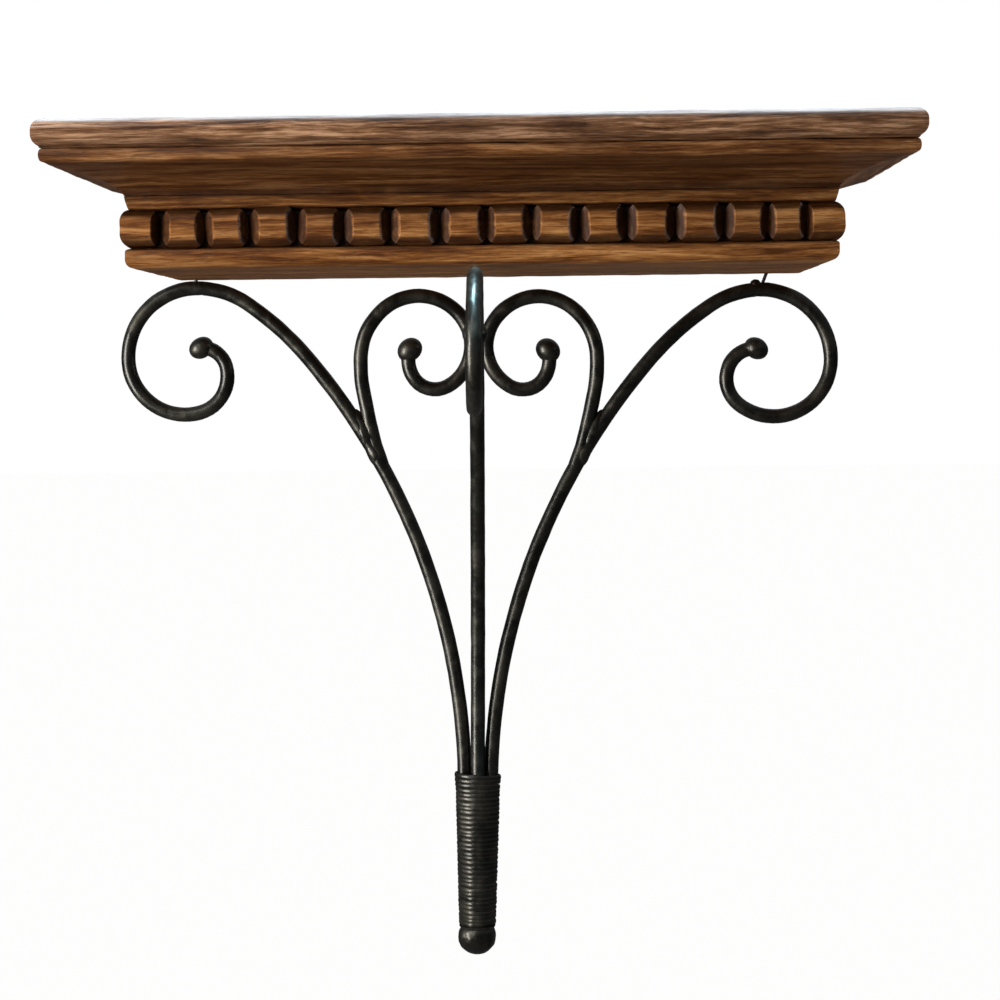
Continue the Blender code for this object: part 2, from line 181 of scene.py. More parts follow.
def maths(tree, operation, first, second=None, clamp=False):
    """A Math node. Each operand is a number or an output socket."""
    node = tree.nodes.new("ShaderNodeMath")
    node.operation = operation
    node.use_clamp = clamp
    for i, operand in enumerate((first, second)):
        if operand is None:
            continue
        if isinstance(operand, (int, float)):
            node.inputs[i].default_value = operand
        else:
            tree.links.new(operand, node.inputs[i])
    return node.outputs[0]


def ramp(tree, value, *stops):
    """A colour ramp over a value. Each stop is (place, colour)."""
    node = tree.nodes.new("ShaderNodeValToRGB")
    tree.links.new(value, node.inputs[0])
    while len(node.color_ramp.elements) < len(stops):
        node.color_ramp.elements.new(0.5)
    for element, (place, colour) in zip(node.color_ramp.elements, stops):
        element.position = place
        element.color = (*colour, 1)
    return node.outputs[0]


def fade(tree, value, low, high, at_low=0.0, at_high=1.0):
    """A Map Range node that turns a value between low and high into a mask, smoothly."""
    node = tree.nodes.new("ShaderNodeMapRange")
    node.interpolation_type = "SMOOTHSTEP"
    tree.links.new(value, node.inputs[0])
    for i, number in enumerate((low, high, at_low, at_high)):
        node.inputs[i + 1].default_value = number
    return node.outputs[0]


def blend(tree, share, first, second, kind="MIX"):
    """Mix two colours by a share, each a number, a colour or an output socket."""
    node = tree.nodes.new("ShaderNodeMix")
    node.data_type = "RGBA"
    node.blend_type = kind
    for i, operand in ((0, share), (6, first), (7, second)):
        if isinstance(operand, (int, float)):
            node.inputs[i].default_value = operand
        elif isinstance(operand, tuple):
            node.inputs[i].default_value = (*operand, 1)
        else:
            tree.links.new(operand, node.inputs[i])
    return node.outputs[2]


def noise(tree, place, scale, detail=4.0, roughness=0.55, distortion=0.0):
    """The grey value of a Noise texture at a place."""
    node = add_node(tree, "ShaderNodeTexNoise", scale=scale, detail=detail, roughness=roughness,
                    distortion=distortion)
    tree.links.new(place, node.inputs["Vector"])
    return node.outputs["Fac"]


def stretch(tree, place, scale):
    """A place scaled along each axis, so that a texture on it is drawn out or squeezed."""
    node = add_node(tree, "ShaderNodeMapping")
    tree.links.new(place, node.inputs["Vector"])
    node.inputs["Scale"].default_value = scale
    return node.outputs["Vector"]


def make_grain_group():
    """Oak grain: light and dark streaks, open pores, the rings' wavy figure, and the depth of it.

    Round the ends the grain turns with the mitred moulding where Mitred is 1, down to the height
    Sole, under which it runs straight.
    """
    group = bpy.data.node_groups.new("oak_grain", "ShaderNodeTree")
    face = group.interface
    for name, kind, value in (("Place", "NodeSocketVector", None), ("Mitred", "NodeSocketFloat", 1.0),
                              ("Sole", "NodeSocketFloat", -1.0), ("Wander", "NodeSocketFloat", 0.006)):
        entry = face.new_socket(name, in_out="INPUT", socket_type=kind)
        if value is not None:
            entry.default_value = value
    for name in ("Streaks", "Pores", "Figure", "Depth"):
        face.new_socket(name, in_out="OUTPUT", socket_type="NodeSocketFloat")
    into = group.nodes.new("NodeGroupInput")
    out = group.nodes.new("NodeGroupOutput")

    parts = add_node(group, "ShaderNodeSeparateXYZ")
    join(group, into, "Place", parts, 0)
    x, y, z = parts.outputs
    from_end = maths(group, "SUBTRACT", shelf_width / 2, maths(group, "ABSOLUTE", x))
    from_front = maths(group, "ADD", y, shelf_depth)
    beyond = maths(group, "GREATER_THAN", from_front, from_end)
    above_sole = maths(group, "GREATER_THAN", z, into.outputs["Sole"])
    at_end = maths(group, "MULTIPLY", beyond, above_sole)
    turned = maths(group, "MULTIPLY", at_end, into.outputs["Mitred"])
    swapped = add_node(group, "ShaderNodeCombineXYZ")
    for output, entry in ((y, 0), (x, 1), (z, 2)):
        group.links.new(output, swapped.inputs[entry])
    along = blend(group, turned, into.outputs["Place"], swapped.outputs[0])

    wave = add_node(group, "ShaderNodeTexNoise", scale=9.0, detail=2.0)
    group.links.new(stretch(group, along, (1.0, 3.0, 3.0)), wave.inputs["Vector"])
    centred = add_node(group, "ShaderNodeVectorMath", operation="SUBTRACT")
    join(group, wave, "Color", centred, 0)
    centred.inputs[1].default_value = (0.5, 0.5, 0.5)
    wandered = add_node(group, "ShaderNodeVectorMath", operation="SCALE")
    join(group, centred, 0, wandered, 0)
    join(group, into, "Wander", wandered, "Scale")
    grown = add_node(group, "ShaderNodeVectorMath", operation="ADD")
    group.links.new(along, grown.inputs[0])
    join(group, wandered, 0, grown, 1)
    grain = grown.outputs[0]

    broad = noise(group, stretch(group, grain, (14, 260, 260)), 1.0, detail=5.0, roughness=0.62)
    fine = noise(group, stretch(group, grain, (70, 1300, 1300)), 1.0, detail=4.0, roughness=0.65)
    streaks = maths(group, "ADD", maths(group, "MULTIPLY", broad, 0.68),
                    maths(group, "MULTIPLY", fine, 0.32))
    specks = noise(group, stretch(group, grain, (110, 1900, 1900)), 1.0, detail=2.0)
    pores = fade(group, specks, 0.60, 0.70)
    figure = noise(group, stretch(group, grain, (5, 45, 45)), 1.0, detail=3.0, distortion=0.6)
    depth = maths(group, "SUBTRACT", streaks, maths(group, "MULTIPLY", pores, 0.35))
    for value, name in ((streaks, "Streaks"), (pores, "Pores"), (figure, "Figure"), (depth, "Depth")):
        group.links.new(value, out.inputs[name])
    return group


def make_carving_group():
    """How far a point lies in from the shelf's outer edge, in metres, and its height."""
    group = bpy.data.node_groups.new("carving_depth", "ShaderNodeTree")
    group.interface.new_socket("Place", in_out="INPUT", socket_type="NodeSocketVector")
    for name in ("Inset", "Height"):
        group.interface.new_socket(name, in_out="OUTPUT", socket_type="NodeSocketFloat")
    into = group.nodes.new("NodeGroupInput")
    out = group.nodes.new("NodeGroupOutput")
    parts = add_node(group, "ShaderNodeSeparateXYZ")
    join(group, into, "Place", parts, 0)
    x, y, z = parts.outputs
    from_end = maths(group, "SUBTRACT", shelf_width / 2, maths(group, "ABSOLUTE", x))
    from_front = maths(group, "ADD", y, shelf_depth)
    group.links.new(maths(group, "MINIMUM", from_end, from_front), out.inputs["Inset"])
    group.links.new(z, out.inputs["Height"])
    return group


def start_material(name, **values):
    """A Principled material with its constants set on the shader. Returns it and its nodes."""
    material = bpy.data.materials.new(name)
    material.use_nodes = True
    tree = material.node_tree
    shader = tree.nodes["Principled BSDF"]
    for key, value in values.items():
        shader.inputs[key.replace("_", " ").title()].default_value = value
    place = add_node(tree, "ShaderNodeTexCoord").outputs["Object"]
    return material, tree, shader, place


def use_group(tree, group, place, **values):
    """Add a node group, fed with the place and with constants. Returns its outputs."""
    node = tree.nodes.new("ShaderNodeGroup")
    node.node_tree = group
    tree.links.new(place, node.inputs["Place"])
    for key, value in values.items():
        node.inputs[key.title()].default_value = value
    return node.outputs


def bump(tree, shader, height, distance, strength):
    """Give a shader fine relief from a height value."""
    node = add_node(tree, "ShaderNodeBump", strength=strength, distance=distance)
    tree.links.new(height, node.inputs["Height"])
    tree.links.new(node.outputs[0], shader.inputs["Normal"])


def oak_material(name, dark, middle, light, mitred, wax, darken, sole=-1.0, paint_sheen=None):
    """Stained, waxed oak. Darken gives a 0 to 1 mask of dark stain together with painted shade in the
    carving. The other mask function gives one of a painted pale sheen. Under the height sole its grain
    isn't mitred.
    """
    material, tree, shader, place = start_material(name, coat_weight=wax, coat_roughness=0.16)
    shader.inputs["Specular IOR Level"].default_value = 0.2
    grain = use_group(tree, oak_grain, place, mitred=mitred, sole=sole)
    wood = ramp(tree, grain["Streaks"], (0.40, dark), (0.50, middle), (0.60, light))
    toned = blend(tree, fade(tree, grain["Figure"], 0.35, 0.65), blend(tree, 0.45, wood, dark), wood)
    pored = blend(tree, maths(tree, "MULTIPLY", grain["Pores"], 0.55), toned, pore_colour)
    carving = use_group(tree, carving_depth, place)
    # Dark stain mixed with painted shade, laid on by how deep the carving goes.
    stain_and_shade = darken(tree, carving["Inset"], carving["Height"])
    soaked = fade(tree, noise(tree, place, 90.0), 0.1, 0.6, 0.75, 1.0)
    patchy = maths(tree, "MULTIPLY", stain_and_shade, soaked)
    colour = blend(tree, patchy, pored, stain_and_shade_colour)
    # A painted pale sheen, streaked along the grain, where that mask is given.
    if paint_sheen:
        sheen_mask = paint_sheen(tree, carving["Inset"], carving["Height"])
        ridges = fade(tree, grain["Streaks"], 0.38, 0.54, 0.45, 1.0)
        streaky_sheen = maths(tree, "MULTIPLY", sheen_mask, ridges)
        colour = blend(tree, streaky_sheen, colour, painted_sheen_colour)
    tree.links.new(colour, shader.inputs["Base Color"])
    polish = fade(tree, noise(tree, place, 35.0), 0.3, 0.7, 0.34, 0.46)
    dull_pores = maths(tree, "MULTIPLY", grain["Pores"], 0.12)
    tree.links.new(maths(tree, "ADD", polish, dull_pores), shader.inputs["Roughness"])
    bump(tree, shader, grain["Depth"], distance=0.0005, strength=0.7)
    return material


top_low, top_high = (Vector(corner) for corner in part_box("top_board"))
shelf_width = top_high.x - top_low.x
shelf_depth = -top_low.y
pore_colour = (0.02, 0.008, 0.003)
# Dark stain colour, also painted into the carved recesses as shade.
stain_and_shade_colour = (0.026, 0.007, 0.001)
# Pale grey of a painted sheen, standing in for sky reflected on the top board's arris.
painted_sheen_colour = (0.66, 0.63, 0.62)
oak_grain = make_grain_group()
carving_depth = make_carving_group()

nose_taper = 0.0040
foot_round = 0.0012
nose_low = top_low.z + 0.0070
arris_drop = 0.0080
arris_width = 0.0115
nose = arc((nose_taper + foot_round, top_low.z + foot_round), (foot_round, foot_round), 270, 180, 3)
nose += sweep(nose[-1], (0.0004, nose_low - 0.0040), (0, nose_low), 6)[1:]
nose += arc((arris_width, top_high.z - arris_drop), (arris_width, arris_drop), 180, 90, 14)
board_net = 0.006
top_board = mould_board("top_board_oak", nose, board_net)
roughen(top_board, "scraped_nose", grain_size=0.022, depth=0.0009)
saw_off_at_wall(top_board)


def top_board_stain_and_shade(tree, inset, height):
    """Dark wax together with painted shade, in the groove under the nose."""
    return fade(tree, height, top_low.z + 0.0004, top_low.z + 0.0038, 0.45, 0.0)


def top_board_painted_sheen(tree, inset, height):
    """A painted pale grey sheen along the upper arris, standing in for the sky reflected there."""
    edge = fade(tree, inset, 0.0074, 0.0104, 1.0, 0.0)
    return maths(tree, "MULTIPLY", edge, fade(tree, height, top_high.z - 0.0044, top_high.z - 0.0028))


top_oak = oak_material("oak_top", dark=(0.045, 0.017, 0.006), middle=(0.215, 0.096, 0.040),
                       light=(0.56, 0.320, 0.180), mitred=0.0, wax=0.9, darken=top_board_stain_and_shade,
                       paint_sheen=top_board_painted_sheen)
finish_piece(top_board, top_oak, smooth_below=30)
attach(top_board, "root")
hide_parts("top_board")


# Cornice board. The thin rounded lip and the cove under it, run along three lengths of oak that meet in
# mitres at the corners. The hollow is darkest: stain where hands don't reach, with painted shade.
cornice_low, cornice_high = (Vector(corner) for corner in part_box("cornice_board"))
overhang = 0.0455
lip_height = 0.0073
lip_inset = 0.0036
lip_round = 0.0016
cove_top = (lip_inset + lip_round, cornice_high.z - lip_height)
cove = sweep((overhang, cornice_low.z), (overhang - 0.0020, cornice_low.z + 0.0085), cove_top, 18)
lip = arc((lip_inset + lip_round, cornice_high.z - lip_height / 2), (lip_round, lip_height / 2),
          270, 90, 10)
cornice_board = mould_board("cornice_board_oak", cove + lip[1:], board_net)
roughen(cornice_board, "scraped_cove", grain_size=0.018, depth=0.0008)
saw_off_at_wall(cornice_board)


def cornice_stain_and_shade(tree, inset, height):
    """Dark stain with painted shade in the cove, most of all at its foot, and clean on the lip."""
    hollow = fade(tree, inset, 0.0056, 0.0090, 0.0, 0.50)
    foot = fade(tree, height, cornice_low.z + 0.0005, cornice_low.z + 0.0060, 0.35, 0.0)
    return maths(tree, "ADD", hollow, foot, clamp=True)


cornice_oak = oak_material("oak_cornice", dark=(0.050, 0.015, 0.004), middle=(0.165, 0.060, 0.015),
                           light=(0.37, 0.175, 0.068), mitred=1.0, wax=0.04, darken=cornice_stain_and_shade)
finish_piece(cornice_board, cornice_oak, smooth_below=32)
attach(cornice_board, "root")
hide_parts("cornice_board")


# Beaded block. The oak block that hangs on the wall by two keyhole slots milled into its back. In
# the recess between its bands runs a row of beads, each split off by knife cuts and rounded with
# a chisel.
block_low, block_high = (Vector(corner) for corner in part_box("beaded_block"))
band_arris = 0.0050
band_top = -0.0098
recess = 0.0060
block_outline = arc((overhang + band_arris, block_low.z + band_arris), (band_arris, band_arris),
                    270, 180, 6)
block_outline += arc((overhang + 0.0016, band_top - 0.0016), (0.0016, 0.0016), 180, 100, 3)
block_outline += [(overhang + recess, -0.0084), (overhang + recess, 0.0118)]
block_outline += [(overhang + 0.0032, 0.0128), (overhang + 0.0021, 0.0136), (overhang + 0.0017, 0.0146)]
block_outline += [(overhang + 0.0006, block_high.z - 0.0030), (overhang, block_high.z)]
beaded_block = mould_board("beaded_block_oak", block_outline, board_net)
roughen(beaded_block, "scraped_bands", grain_size=0.016, depth=0.0008)
saw_off_at_wall(beaded_block)

bead_width = 0.0264
bead_chamfer = 0.0060
bead_depth = 0.0160
bead_height = 0.0242
bead_middle = 0.0021
bead_proud = 0.0032
bead_round = 0.0084
corner_round = 0.0090
corner_depth = 0.0222
corner_width = 0.90
corner_reach = bead_width * 0.45
side_beads = 7
bead_spacings = (27, 25, 27.5, 27.5, 26.5, 28.5, 28.5, 26, 27.5, 27.5, 28, 28, 28, 23.5, 23.5)
first_bead = -0.2006


def split_bead(name, chamfered, rounding):
    """One bead, its front facing -Y, rounded over, with the corners in chamfered cut off upright."""
    bead = start_piece(name, bpy.ops.mesh.primitive_cube_add, size=1)
    bpy.ops.transform.resize(value=(bead_width, bead_depth, bead_height))
    half_width, half_depth = bead_width / 2, bead_depth / 2
    pick_edges(bead, lambda a, b: abs(a.z - b.z) < 0.0001 and a.y + b.y < half_depth)
    bpy.ops.mesh.bevel(offset=rounding, segments=8, profile=0.52)
    for side, way in chamfered:
        cut = (side * (half_width - bead_chamfer / 2), way * (half_depth - bead_chamfer / 2), 0)
        bpy.ops.mesh.select_all(action="SELECT")
        bpy.ops.mesh.bisect(plane_co=cut, plane_no=(side, way, 0), use_fill=True, clear_outer=True)
    bpy.ops.mesh.select_all(action="SELECT")
    bpy.ops.object.mode_set(mode="OBJECT")
    return bead


def place_bead(shape, x, y, turn, room, rng):
    """A copy of a bead with its own mesh, cut to fill its room in the row, no two quite alike."""
    bead = shape.copy()
    bead.data = shape.data.copy()
    bpy.context.scene.collection.objects.link(bead)
    size = Matrix.Diagonal((room / bead_width * rng.uniform(0.96, 1.0), 1.0,
                            rng.uniform(0.97, 1.02), 1.0))
    slant = Matrix.Rotation(math.radians(rng.uniform(-2.5, 2.5)), 4, "Y")
    shift = Matrix.Translation((rng.uniform(-0.0005, 0.0005), rng.uniform(-0.0003, 0.0006),
                                bead_middle + rng.uniform(-0.0004, 0.0004)))
    bead.data.transform(Matrix.Translation((x, y, 0)) @ Matrix.Rotation(turn, 4, "Z")
                        @ shift @ slant @ size)
    return bead


rng = random.Random(7)
front_bead = split_bead("front_bead", ((-1, -1), (1, -1)), bead_round)
bead_row = shelf_depth - overhang + bead_proud - bead_depth / 2
bead_end = shelf_width / 2 - overhang + bead_proud - bead_depth / 2
beads = []
for i in range(1, len(bead_spacings)):
    x = first_bead + sum(bead_spacings[:i]) / 1000
    room = (bead_spacings[i - 1] + bead_spacings[i]) / 2000
    beads.append(place_bead(front_bead, x, -bead_row, 0, room, rng))
first_row = shelf_depth - overhang + bead_proud - corner_reach
for row in range(1, side_beads + 1):
    for side in (-1, 1):
        beads.append(place_bead(front_bead, side * bead_end, bead_width * row - first_row,
                                side * math.pi / 2, bead_width, rng))
bpy.data.objects.remove(front_bead)
for side in (-1, 1):
    corner_bead = split_bead("corner_bead", ((-side, -1), (side, 1)), corner_round)
    corner_bead.data.transform(Matrix.Diagonal((corner_width, corner_depth / bead_depth, 1, 1)))
    beads.append(place_bead(corner_bead, side * (bead_end + bead_depth / 2 - corner_reach),
                            -bead_row - bead_depth / 2 + corner_depth / 2, 0, bead_width, rng))
    bpy.data.objects.remove(corner_bead)

bpy.ops.object.select_all(action="DESELECT")
for bead in beads:
    bead.select_set(True)
bpy.context.view_layer.objects.active = beads[0]
bpy.ops.object.join()
bead_rows = bpy.context.object
apply_modifier(bead_rows, "SUBSURF", subdivision_type="SIMPLE", levels=1, render_levels=1)
roughen(bead_rows, "chiselled_beads", grain_size=0.009, depth=0.0009)
apply_modifier(beaded_block, "BOOLEAN", operation="UNION", object=bead_rows, solver="EXACT",
               use_self=True)
bpy.data.objects.remove(bead_rows)

keyhole_reach = 0.120
keyhole_entry = -0.006
keyhole_rise = 0.012
keyhole_mouth = 0.0055
keyhole_neck = 0.0026
keyhole_lip = 0.0030
keyhole_depth = 0.0100
mouth_rise = 0.0001
cutter_clear = 0.002


def mill_slot(middle_x, rise, radius, near, far):
    """Cut an upright round-ended slot into the block's back."""
    cutter = start_piece("slot_cutter", bpy.ops.mesh.primitive_circle_add, vertices=32, radius=radius,
                         fill_type="NGON", location=(middle_x, near, keyhole_entry),
                         rotation=(math.pi / 2, math.pi / 32, 0))
    pick_edges(cutter, lambda a, b: a.z > keyhole_entry and b.z > keyhole_entry)
    bpy.ops.transform.translate(value=(0, 0, rise))
    bpy.ops.mesh.select_all(action="SELECT")
    bpy.ops.mesh.extrude_region_move(TRANSFORM_OT_translate={"value": (0, far - near, 0)})
    bpy.ops.mesh.select_all(action="SELECT")
    bpy.ops.mesh.normals_make_consistent(inside=False)
    apply_modifier(beaded_block, "BOOLEAN", operation="DIFFERENCE", object=cutter, solver="EXACT")
    bpy.data.objects.remove(cutter)


for side in (-1, 1):
    mill_slot(side * keyhole_reach, mouth_rise, keyhole_mouth, cutter_clear, -keyhole_depth)
    mill_slot(side * keyhole_reach, keyhole_rise, keyhole_neck, cutter_clear, -keyhole_depth)
    mill_slot(side * keyhole_reach, keyhole_rise, keyhole_mouth, -keyhole_lip, -keyhole_depth)


def block_stain_and_shade(tree, inset, height):
    """Dark stain with painted shade: near black round the beads in their recess, thinner on the neck
    above and at its joint.
    """
    flank = fade(tree, inset, overhang - 0.0029, overhang - 0.0012, 0.0, 0.92)
    hollow = fade(tree, inset, overhang + 0.0002, overhang + 0.0030, 0.0, 0.08)
    from_middle = maths(tree, "ABSOLUTE", maths(tree, "SUBTRACT", height, bead_middle))
    ends = fade(tree, from_middle, 0.0052, 0.0080, 0.0, 0.86)
    deep = maths(tree, "MAXIMUM", maths(tree, "ADD", flank, hollow), ends)
    shallow = fade(tree, inset, overhang + 0.0140, overhang + 0.0180, 1.0, 0.0)
    deep = maths(tree, "MULTIPLY", deep, shallow)
    above_base = fade(tree, height, band_top - 0.0022, band_top + 0.0006)
    below_neck = fade(tree, height, 0.0132, 0.0152, 1.0, 0.0)
    between = maths(tree, "MULTIPLY", deep, maths(tree, "MULTIPLY", above_base, below_neck))
    neck = fade(tree, height, 0.0146, 0.0160, 0.0, 0.42)
    seam = fade(tree, height, block_high.z - 0.0016, block_high.z - 0.0002, 0.0, 0.5)
    return maths(tree, "ADD", between, maths(tree, "ADD", neck, seam), clamp=True)


block_oak = oak_material("oak_block", dark=(0.075, 0.022, 0.004), middle=(0.270, 0.100, 0.024),
                         light=(0.52, 0.250, 0.085), mitred=1.0, wax=0.04, darken=block_stain_and_shade,
                         sole=block_low.z + 0.0012)
finish_piece(beaded_block, block_oak, smooth_below=32)
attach(beaded_block, "root")
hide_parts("beaded_block")


# Side scrolls. Round iron bar, bent hot in one upright plane from the foot up, over the crest that
# the shelf sits on and round to a ball forged on the end. The right loop came out wider, with a
# lump of weld on its crest, and all the ironwork hangs with a slight lean.
iron_bar = 0.00475
bar_plane = -0.0085
wrap_top = -0.3280
wrap_bottom = -0.4297
foot_top_spread = 0.0089
foot_bottom_spread = 0.0062
foot_top_forward = 0.0047
foot_bottom_forward = 0.0079
iron_offset = -0.0064
iron_lean = math.radians(0.8)
iron_frame = Matrix.Translation((iron_offset, 0, block_low.z)) @ Matrix.Rotation(iron_lean, 4, "Y")
side_ball = 0.0077
side_bends = ((0.440, 38.5), (0.205, 15.5), (0.062, 31.0), (0.046, 93.5))
loop_bends = {-1: ((0.0375, 105.0), (0.025, 91.0), (0.0165, 76.0)),
              1: ((0.0374, 128.0), (0.0216, 73.5), (0.0187, 70.6))}
side_heading = math.radians(88.7)
lump_place = (0.1818, -0.0045)
lump_size = (0.0036, 0.0034, 0.0032)
foot_steps = 6
bend_step = 0.0035
most_bend_steps = 40
ball_steps = 10
ball_closes = math.radians(172)


def forge_bar(name, out, foot, start, heading, bends, turn_left, radius, ball, rise=0.0):
    """Bend a round bar in the upright plane of out, from its foot up, and forge a ball on its end.

    Places are (reach along out, height) in the iron's own frame. The bar is straight from foot to
    start, where the bends begin, and rise lifts all that follows.
    """
    out = Vector(out)
    up = Vector((0, 0, 1))
    plane = Vector((0, bar_plane, 0))

    def at(reach, height):
        return plane + out * reach + up * height

    along = out * math.cos(heading) + up * math.sin(heading)
    rotation = along.to_track_quat("Z", "Y").to_euler()
    bar = start_piece(name, bpy.ops.mesh.primitive_circle_add, vertices=20, radius=radius,
                      fill_type="NGON", location=at(*foot), rotation=rotation)
    step = (at(*start) - at(*foot)) / foot_steps
    for _ in range(foot_steps):
        bpy.ops.mesh.extrude_region_move(TRANSFORM_OT_translate={"value": step})
    reach, height = start
    if rise:
        height += rise
        bpy.ops.transform.translate(value=(0, 0, rise))
    side = 1 if turn_left else -1
    axis = out.cross(up)
    seat = math.sqrt(ball ** 2 - radius ** 2)
    for i, (bend_radius, degrees) in enumerate(bends):
        turn = math.radians(degrees)
        middle = (reach - side * bend_radius * math.sin(heading),
                  height + side * bend_radius * math.cos(heading))
        steps = min(most_bend_steps, max(2, round(bend_radius * turn / bend_step)))
        last = i == len(bends) - 1
        held_back = 2 * math.asin(seat / (2 * bend_radius)) if last else 0
        bpy.ops.mesh.spin(steps=steps, angle=side * (held_back - turn), center=at(*middle), axis=axis)
        neck = heading + side * (turn - held_back)
        heading += side * turn
        reach = middle[0] + side * bend_radius * math.sin(heading)
        height = middle[1] - side * bend_radius * math.cos(heading)
    spot = at(middle[0] + side * bend_radius * math.sin(neck),
              middle[1] - side * bend_radius * math.cos(neck))
    ball_middle = at(reach, height)
    along = (ball_middle - spot).normalized()
    opening = math.asin(radius / ball)
    angle = opening
    width = radius
    for _ in range(ball_steps):
        angle += (ball_closes - opening) / ball_steps
        next_spot = ball_middle - along * ball * math.cos(angle)
        bpy.ops.mesh.extrude_region_move(TRANSFORM_OT_translate={"value": next_spot - spot})
        grow = ball * math.sin(angle) / width
        bpy.ops.transform.resize(value=(grow, grow, grow), center_override=next_spot)
        spot = next_spot
        width *= grow
    bpy.ops.object.mode_set(mode="OBJECT")
    bar.data.transform(iron_frame)
    return bar


def make_forged_group():
    """Forged and blackened skin: broad hammer flats, fine scale, and patches rubbed or rusted."""
    group = bpy.data.node_groups.new("forged_skin", "ShaderNodeTree")
    group.interface.new_socket("Place", in_out="INPUT", socket_type="NodeSocketVector")
    for name in ("Flats", "Scale", "Patches"):
        group.interface.new_socket(name, in_out="OUTPUT", socket_type="NodeSocketFloat")
    into = group.nodes.new("NodeGroupInput")
    out = group.nodes.new("NodeGroupOutput")
    place = into.outputs["Place"]
    flats = noise(group, place, 130.0, detail=1.0)
    fine = noise(group, place, 1400.0, detail=3.0, roughness=0.6)
    patches = noise(group, place, 55.0, detail=5.0, roughness=0.65, distortion=0.5)
    for value, name in ((flats, "Flats"), (fine, "Scale"), (patches, "Patches")):
        group.links.new(value, out.inputs[name])
    return group


def iron_material(name, black, brown, rough_low, rough_high):
    """Blackened, waxed iron, browner and duller where the black has worn."""
    material, tree, shader, place = start_material(name, metallic=0.85, coat_weight=0.32,
                                                   coat_roughness=0.22)
    skin = use_group(tree, forged_skin, place)
    colour = ramp(tree, skin["Patches"], (0.40, black), (0.62, brown))
    tree.links.new(colour, shader.inputs["Base Color"])
    roughness = fade(tree, skin["Patches"], 0.35, 0.65, rough_low, rough_high)
    tree.links.new(roughness, shader.inputs["Roughness"])
    height = maths(tree, "ADD", skin["Flats"], maths(tree, "MULTIPLY", skin["Scale"], 0.10))
    bump(tree, shader, height, distance=0.0009, strength=0.6)
    return material


forged_skin = make_forged_group()
black_iron = iron_material("iron_black", black=(0.024, 0.024, 0.021), brown=(0.066, 0.062, 0.050),
                           rough_low=0.31, rough_high=0.48)
for side, word in ((-1, "left"), (1, "right")):
    outer = forge_bar("outer_scroll_" + word + "_iron", out=(side, 0, 0),
                      foot=(foot_bottom_spread, wrap_bottom), start=(foot_top_spread, wrap_top),
                      heading=side_heading, bends=side_bends + loop_bends[side], turn_left=False,
                      radius=iron_bar, ball=side_ball)
    roughen(outer, "hammered_bar", grain_size=0.012, depth=0.0005)
    if side == 1:
        lump = start_piece("weld_lump", bpy.ops.mesh.primitive_ico_sphere_add, subdivisions=3, radius=1,
                           location=(lump_place[0], bar_plane, lump_place[1]), scale=lump_size)
        roughen(lump, "lump_skin", grain_size=0.003, depth=0.0006)
        lump.data.transform(iron_frame)
        apply_modifier(outer, "BOOLEAN", operation="UNION", object=lump, solver="EXACT")
        bpy.data.objects.remove(lump)
    finish_piece(outer, black_iron, smooth_below=40)
    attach(outer, "root")
    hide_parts("outer_scroll_" + word)


# Inner scrolls. Shorter lengths of the same bar, welded on the backs of the side scrolls and bent
# the other way, in towards the middle, where the two touch. The welds were left rough.
inner_ball = 0.0081
inner_bends = ((0.600, 3.5), (0.105, 12.5), (0.043, 49.5), (0.0355, 95.0), (0.0305, 94.0),
               (0.017, 91.0), (0.0225, 45.0))
inner_foot = (0.0685, -0.1113)
inner_toe = (0.0640, -0.1240)
inner_heading = math.radians(76.0)
weld_lean = math.radians(67.0)
welds = (((0.0755, -0.1030), (0.0052, 0.0052, 0.0170)),
         ((0.0694, -0.1160), (0.0048, 0.0052, 0.0110)))


def lay_weld(name, side, middle, size):
    """A puddle of weld metal, longer along the bars, with a lumpy skin."""
    weld = start_piece(name, bpy.ops.mesh.primitive_ico_sphere_add, subdivisions=4, radius=1,
                       location=(side * middle[0], bar_plane, middle[1]), scale=size,
                       rotation=(0, side * (math.pi / 2 - weld_lean), 0))
    roughen(weld, "weld_lumps", grain_size=0.005, depth=0.0010)
    weld.data.transform(iron_frame)
    return weld


for side, word in ((-1, "left"), (1, "right")):
    inner = forge_bar("inner_scroll_" + word + "_iron", out=(side, 0, 0), foot=inner_toe,
                      start=inner_foot, heading=inner_heading, bends=inner_bends, turn_left=True,
                      radius=iron_bar, ball=inner_ball)
    roughen(inner, "hammered_inner_bar", grain_size=0.012, depth=0.0005)
    for middle, size in welds:
        weld = lay_weld("weld", side, middle, size)
        apply_modifier(inner, "BOOLEAN", operation="UNION", object=weld, solver="EXACT")
        bpy.data.objects.remove(weld)
    finish_piece(inner, black_iron, smooth_below=40)
    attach(inner, "root")
    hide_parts("inner_scroll_" + word)


# Front scroll. The same bar again, standing out from the wall to carry the front of the shelf. Its
# crest only just clears the block's underside.
front_bends = ((0.415, 40.0), (0.203, 17.5), (0.063, 35.7), (0.0427, 92.8), (0.036, 105.7),
               (0.0245, 91.0), (0.0164, 77.0))
front_heading = math.radians(91.9)
front_swing = math.radians(0.6)
front_rise = -0.00014
front_out = (math.sin(front_swing), -math.cos(front_swing), 0)
front = forge_bar("front_scroll_iron", out=front_out, foot=(foot_bottom_forward, wrap_bottom),
                  start=(foot_top_forward, wrap_top), heading=front_heading, bends=front_bends,
                  turn_left=False, radius=iron_bar, ball=side_ball, rise=front_rise)
roughen(front, "hammered_front_bar", grain_size=0.012, depth=0.0005)
finish_piece(front, black_iron, smooth_below=40)
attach(front, "root")
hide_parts("front_scroll")


